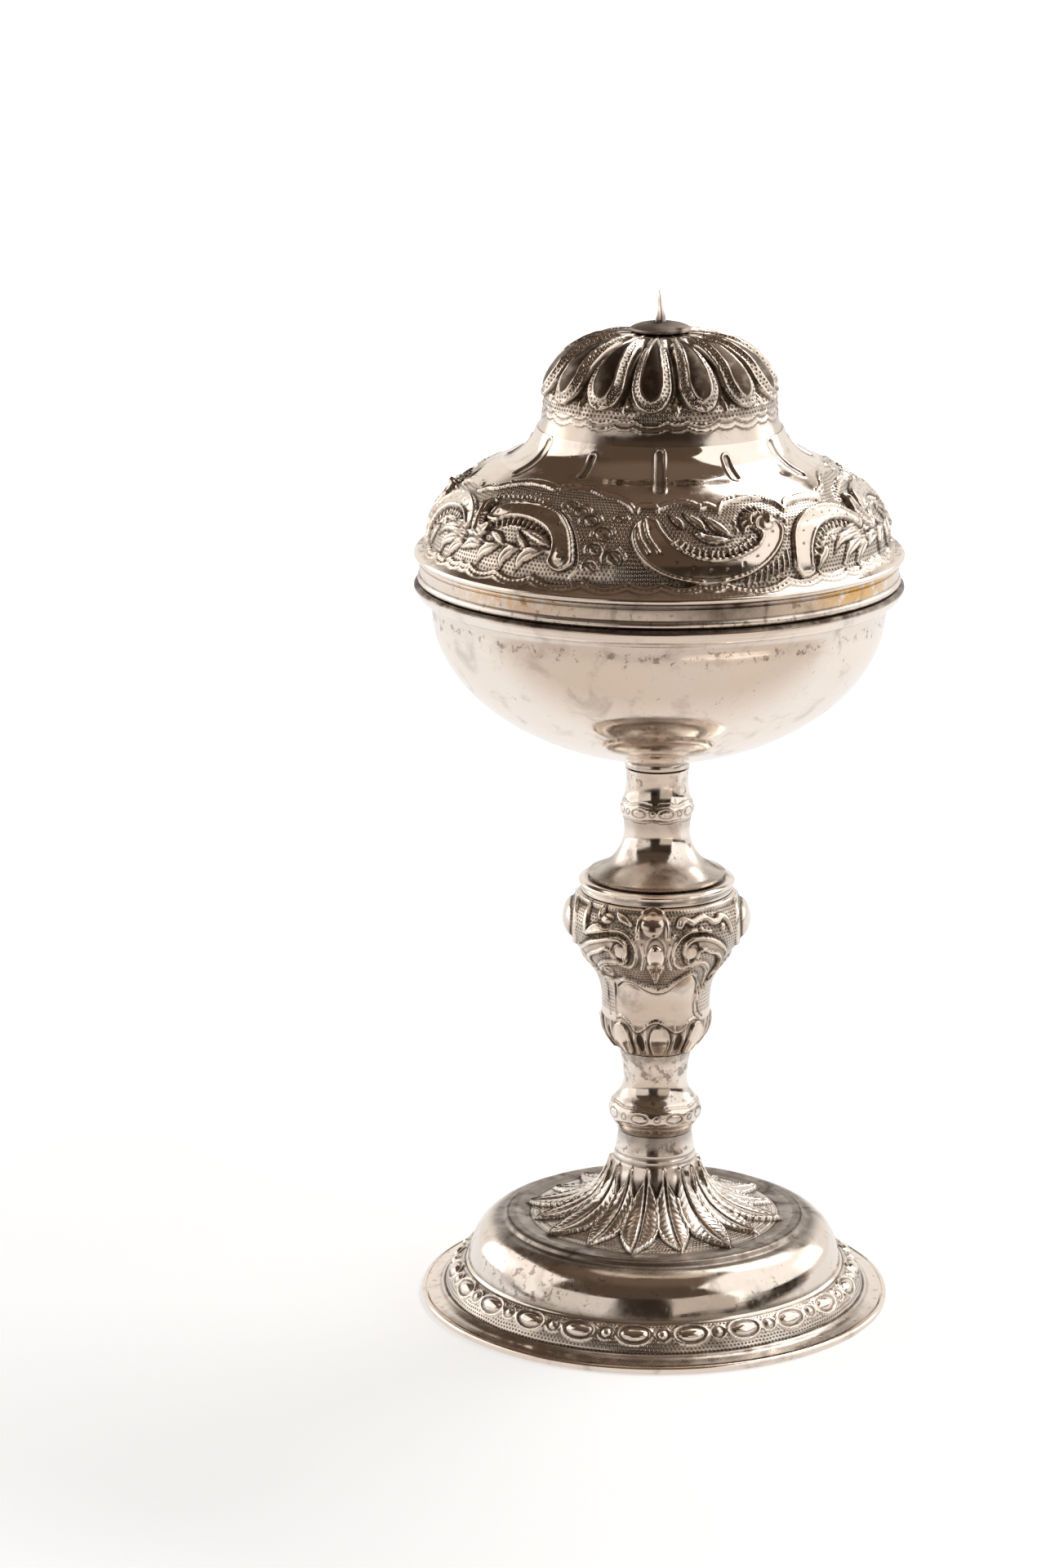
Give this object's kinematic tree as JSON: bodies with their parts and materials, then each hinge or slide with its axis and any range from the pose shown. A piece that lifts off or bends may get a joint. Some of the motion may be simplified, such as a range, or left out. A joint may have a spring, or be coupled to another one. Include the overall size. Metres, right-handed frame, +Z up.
{
  "type": "ciborium",
  "caption": "Covered silver cup on a knopped stem and stepped round foot, with a lift-off domed lid, for keeping and giving communion wafers.",
  "frame": {"origin": "centre of the circle the foot stands on, at the level of the table", "axes": "+Z up along the axis of the cup; the ciborium is round, so +X is to the right of the side with the cartouche that faces the viewer and -Y points at the viewer"},
  "size_m": [0.114, 0.114, 0.243],
  "materials": {
    "foot_rim": "worn polished silver",
    "foot_shell": "chased and polished silver with dark patina",
    "tie_washer": "dull brass",
    "tie_nut": "dull brass",
    "tie_rod": "dull drawn rod",
    "lower_knop": "polished silver, engraved",
    "vase_knop": "chased silver with dark patina",
    "knop_plate": "polished silver",
    "upper_stem": "polished silver, engraved",
    "cup_collar": "polished silver with a solder line",
    "cup_bowl": "polished silver, lightly scratched",
    "cup_lip": "polished silver",
    "lid_shell": "chased silver with dark patina",
    "lid_band": "worn gilding over silver",
    "lid_bezel": "plain silver",
    "finial_disc": "tarnished silver",
    "finial_washer": "tarnished silver",
    "finial_tang": "filed silver"
  },
  "bodies": {
    "base": {"foot_rim": "foot_rim", "foot_shell": "foot_shell", "tie_washer": "tie_washer", "tie_nut": "tie_nut", "tie_rod": "tie_rod", "lower_knop": "lower_knop", "vase_knop": "vase_knop", "knop_plate": "knop_plate", "upper_stem": "upper_stem", "cup_collar": "cup_collar", "cup_bowl": "cup_bowl", "cup_lip": "cup_lip"},
    "lid": {"lid_shell": "lid_shell", "lid_band": "lid_band", "lid_bezel": "lid_bezel", "finial_disc": "finial_disc", "finial_washer": "finial_washer", "finial_tang": "finial_tang"}
  },
  "joints": [
    {"name": "lid_lift", "type": "slide", "parent": "base", "child": "lid", "axis": [0, 0, 1], "range_m": [0, 0.13]}
  ]
}
